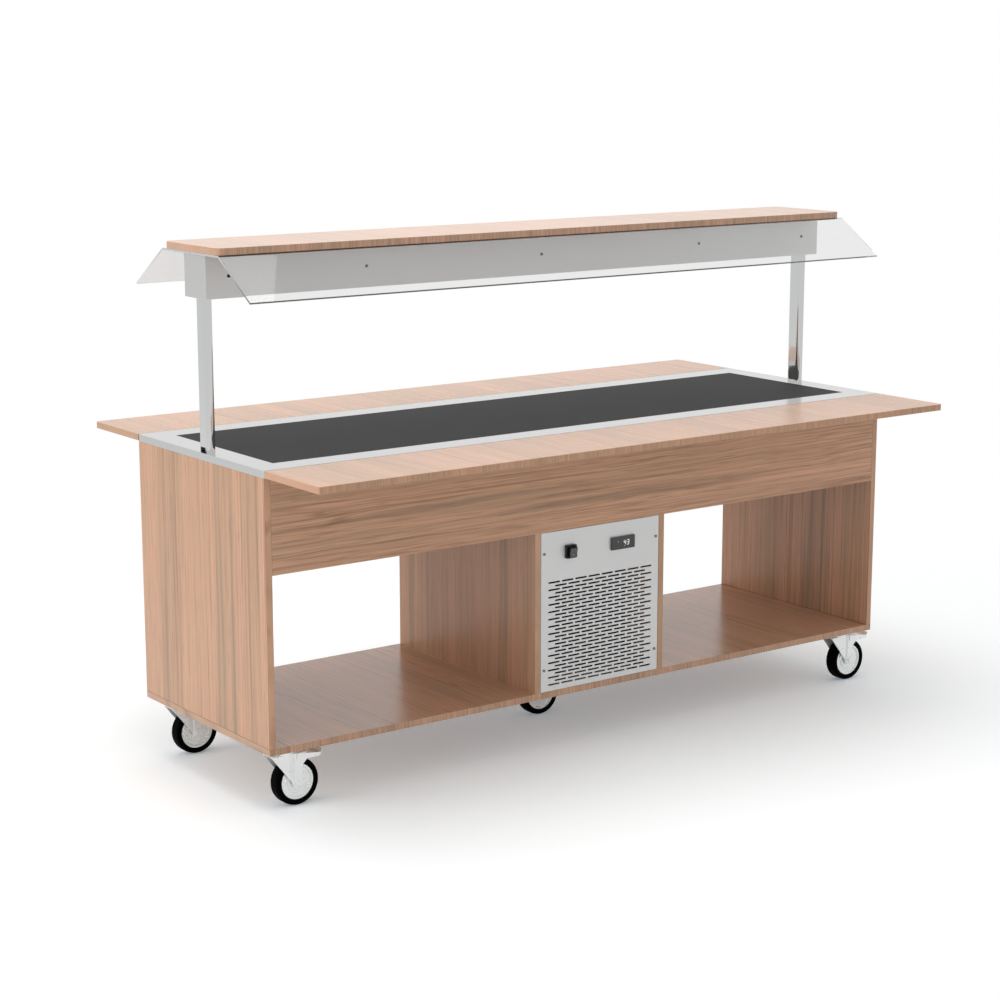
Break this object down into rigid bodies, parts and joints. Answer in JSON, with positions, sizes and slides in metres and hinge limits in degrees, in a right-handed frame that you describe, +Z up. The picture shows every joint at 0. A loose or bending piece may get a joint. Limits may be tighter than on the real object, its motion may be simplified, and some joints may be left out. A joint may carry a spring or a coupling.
{
  "type": "mobile salad bar",
  "caption": "Mobile refrigerated salad bar: an oak cabinet on swivel casters with a black cold plate, folding tray shelves and a lit canopy with sloping clear guards.",
  "frame": {"origin": "on the floor below the middle of the counter", "axes": "+X along the cabinet to the right as seen from the grille side, +Y from the grille side to the rear, +Z up"},
  "size_m": [2.1471, 1.168, 1.4145],
  "materials": {
    "oak_panel": "satin",
    "oak_apron": "satin",
    "oak_floor": "satin",
    "oak_top": "satin",
    "satin_steel": "satin",
    "grey_grille": "satin",
    "black_plate": "matte",
    "foam": "matte",
    "chrome": "polished",
    "opal": "matte",
    "white_plastic": "satin",
    "clear_pane": "gloss",
    "zinc": "satin",
    "black_plastic": "satin",
    "grey_plastic": "satin",
    "dark_window": "gloss",
    "aluminium_fins": "satin",
    "black_metal": "satin",
    "black_casing": "satin",
    "copper": "satin",
    "wheel_core": "satin",
    "tyre": "matte"
  },
  "bodies": {
    "cabinet": {"bottom_board": "oak_floor", "left_end_panel": "oak_panel", "right_end_panel": "oak_panel", "front_apron": "oak_apron", "rear_apron": "oak_apron", "unit_left_panel": "oak_panel", "unit_right_panel": "oak_panel", "steel_surround": "satin_steel", "cold_tray": "satin_steel", "foam_block": "foam", "cold_plate": "black_plate", "canopy_posts": "chrome", "light_box": "satin_steel", "light_diffuser": "opal", "lamp_carrier": "satin_steel", "lamp_strips": "white_plastic", "front_guard": "clear_pane", "rear_guard": "clear_pane", "canopy_board": "oak_top", "front_grille": "grey_grille", "rear_grille": "grey_grille", "grille_cleats": "satin_steel", "fasteners": "zinc", "switch_housing": "black_plastic", "controller_housing": "black_plastic", "controller_window": "dark_window", "unit_tray": "satin_steel", "condenser": "aluminium_fins", "fan_shroud": "satin_steel", "fan_motor": "black_metal", "compressor": "black_casing", "pipework": "copper", "shelf_brackets": "zinc", "caster_plates": "zinc"},
    "front_shelf": {"front_shelf": "oak_top", "front_shelf_arms": "zinc"},
    "rear_shelf": {"rear_shelf": "oak_top", "rear_shelf_arms": "zinc"},
    "switch_rocker": {"switch_rocker": "grey_plastic"},
    "fan": {"fan_blades": "black_plastic"},
    "caster_front_left_swivel": {"caster_fork_front_left": "zinc"},
    "caster_front_left_wheel": {"caster_core_front_left": "wheel_core", "caster_tyre_front_left": "tyre"},
    "caster_front_left_pedal": {"caster_pedal_front_left": "zinc"},
    "caster_rear_left_swivel": {"caster_fork_rear_left": "zinc"},
    "caster_rear_left_wheel": {"caster_core_rear_left": "wheel_core", "caster_tyre_rear_left": "tyre"},
    "caster_rear_left_pedal": {"caster_pedal_rear_left": "zinc"},
    "caster_front_right_swivel": {"caster_fork_front_right": "zinc"},
    "caster_front_right_wheel": {"caster_core_front_right": "wheel_core", "caster_tyre_front_right": "tyre"},
    "caster_front_right_pedal": {"caster_pedal_front_right": "zinc"},
    "caster_rear_right_swivel": {"caster_fork_rear_right": "zinc"},
    "caster_rear_right_wheel": {"caster_core_rear_right": "wheel_core", "caster_tyre_rear_right": "tyre"},
    "caster_rear_right_pedal": {"caster_pedal_rear_right": "zinc"},
    "caster_middle_swivel": {"caster_fork_middle": "zinc"},
    "caster_middle_wheel": {"caster_core_middle": "wheel_core", "caster_tyre_middle": "tyre"},
    "caster_middle_pedal": {"caster_pedal_middle": "zinc"}
  },
  "joints": [
    {"name": "front_shelf_fold", "type": "hinge", "parent": "cabinet", "child": "front_shelf", "pos_m": [0, -0.341, 0.848], "axis": [1, 0, 0], "range_deg": [0, 90]},
    {"name": "rear_shelf_fold", "type": "hinge", "parent": "cabinet", "child": "rear_shelf", "pos_m": [0, 0.341, 0.848], "axis": [-1, 0, 0], "range_deg": [0, 90]},
    {"name": "switch_rock", "type": "hinge", "parent": "cabinet", "child": "switch_rocker", "pos_m": [-0.1072, -0.333, 0.5612], "axis": [-1, 0, 0], "range_deg": [0, 14]},
    {"name": "fan_spin", "type": "hinge", "parent": "cabinet", "child": "fan", "pos_m": [0, -0.19, 0.33], "axis": [0, 1, 0], "continuous": true},
    {"name": "caster_front_left_turn", "type": "hinge", "parent": "cabinet", "child": "caster_front_left_swivel", "pos_m": [-0.9802, -0.265, 0.15], "axis": [0, 0, 1], "continuous": true},
    {"name": "caster_front_left_roll", "type": "hinge", "parent": "caster_front_left_swivel", "child": "caster_front_left_wheel", "pos_m": [-0.9474, -0.265, 0.0625], "axis": [0, 1, 0], "continuous": true},
    {"name": "caster_front_left_brake", "type": "hinge", "parent": "caster_front_left_swivel", "child": "caster_front_left_pedal", "pos_m": [-0.9442, -0.265, 0.131], "axis": [0, 1, 0], "range_deg": [0, 8]},
    {"name": "caster_rear_left_turn", "type": "hinge", "parent": "cabinet", "child": "caster_rear_left_swivel", "pos_m": [-0.9802, 0.265, 0.15], "axis": [0, 0, 1], "continuous": true},
    {"name": "caster_rear_left_roll", "type": "hinge", "parent": "caster_rear_left_swivel", "child": "caster_rear_left_wheel", "pos_m": [-0.9474, 0.265, 0.0625], "axis": [0, 1, 0], "continuous": true},
    {"name": "caster_rear_left_brake", "type": "hinge", "parent": "caster_rear_left_swivel", "child": "caster_rear_left_pedal", "pos_m": [-0.9442, 0.265, 0.131], "axis": [0, 1, 0], "range_deg": [0, 8]},
    {"name": "caster_front_right_turn", "type": "hinge", "parent": "cabinet", "child": "caster_front_right_swivel", "pos_m": [0.9802, -0.265, 0.15], "axis": [0, 0, 1], "continuous": true},
    {"name": "caster_front_right_roll", "type": "hinge", "parent": "caster_front_right_swivel", "child": "caster_front_right_wheel", "pos_m": [1.013, -0.265, 0.0625], "axis": [0, 1, 0], "continuous": true},
    {"name": "caster_front_right_brake", "type": "hinge", "parent": "caster_front_right_swivel", "child": "caster_front_right_pedal", "pos_m": [1.0162, -0.265, 0.131], "axis": [0, 1, 0], "range_deg": [0, 8]},
    {"name": "caster_rear_right_turn", "type": "hinge", "parent": "cabinet", "child": "caster_rear_right_swivel", "pos_m": [0.9802, 0.265, 0.15], "axis": [0, 0, 1], "continuous": true},
    {"name": "caster_rear_right_roll", "type": "hinge", "parent": "caster_rear_right_swivel", "child": "caster_rear_right_wheel", "pos_m": [1.013, 0.265, 0.0625], "axis": [0, 1, 0], "continuous": true},
    {"name": "caster_rear_right_brake", "type": "hinge", "parent": "caster_rear_right_swivel", "child": "caster_rear_right_pedal", "pos_m": [1.0162, 0.265, 0.131], "axis": [0, 1, 0], "range_deg": [0, 8]},
    {"name": "caster_middle_turn", "type": "hinge", "parent": "cabinet", "child": "caster_middle_swivel", "pos_m": [0, 0, 0.15], "axis": [0, 0, 1], "continuous": true},
    {"name": "caster_middle_roll", "type": "hinge", "parent": "caster_middle_swivel", "child": "caster_middle_wheel", "pos_m": [0.0328, 0, 0.0625], "axis": [0, 1, 0], "continuous": true},
    {"name": "caster_middle_brake", "type": "hinge", "parent": "caster_middle_swivel", "child": "caster_middle_pedal", "pos_m": [0.036, 0, 0.131], "axis": [0, 1, 0], "range_deg": [0, 8]}
  ]
}
